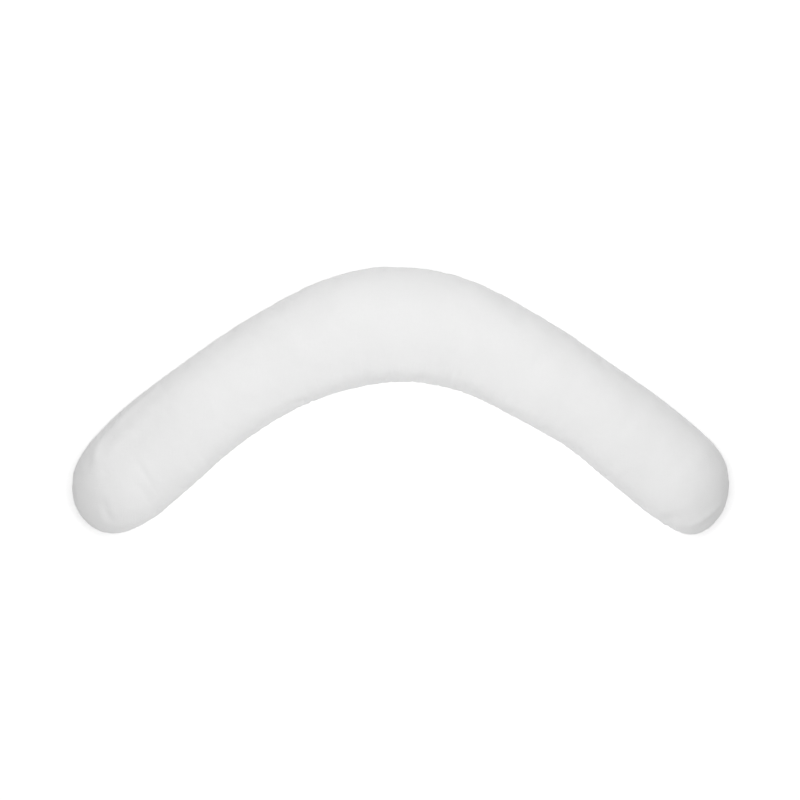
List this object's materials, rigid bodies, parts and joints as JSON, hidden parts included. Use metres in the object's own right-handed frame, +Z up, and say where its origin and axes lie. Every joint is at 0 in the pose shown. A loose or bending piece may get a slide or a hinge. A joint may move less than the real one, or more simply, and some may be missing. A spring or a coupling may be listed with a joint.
{
  "type": "body pillow",
  "caption": "Long curved body pillow: one filled cotton tube with round ends, bent into a wide arch and lying flat.",
  "frame": {"origin": "on the surface the pillow lies on, under the centre of its bounding box", "axes": "+X from the left arm to the right one, +Y from the open side to the outer edge of the arch, +Z up"},
  "size_m": [1.4816, 0.6024, 0.207],
  "materials": {
    "cotton_cover": "matt white woven cotton with a faint sheen"
  },
  "bodies": {
    "root": {"body_pillow": "cotton_cover"}
  },
  "joints": []
}
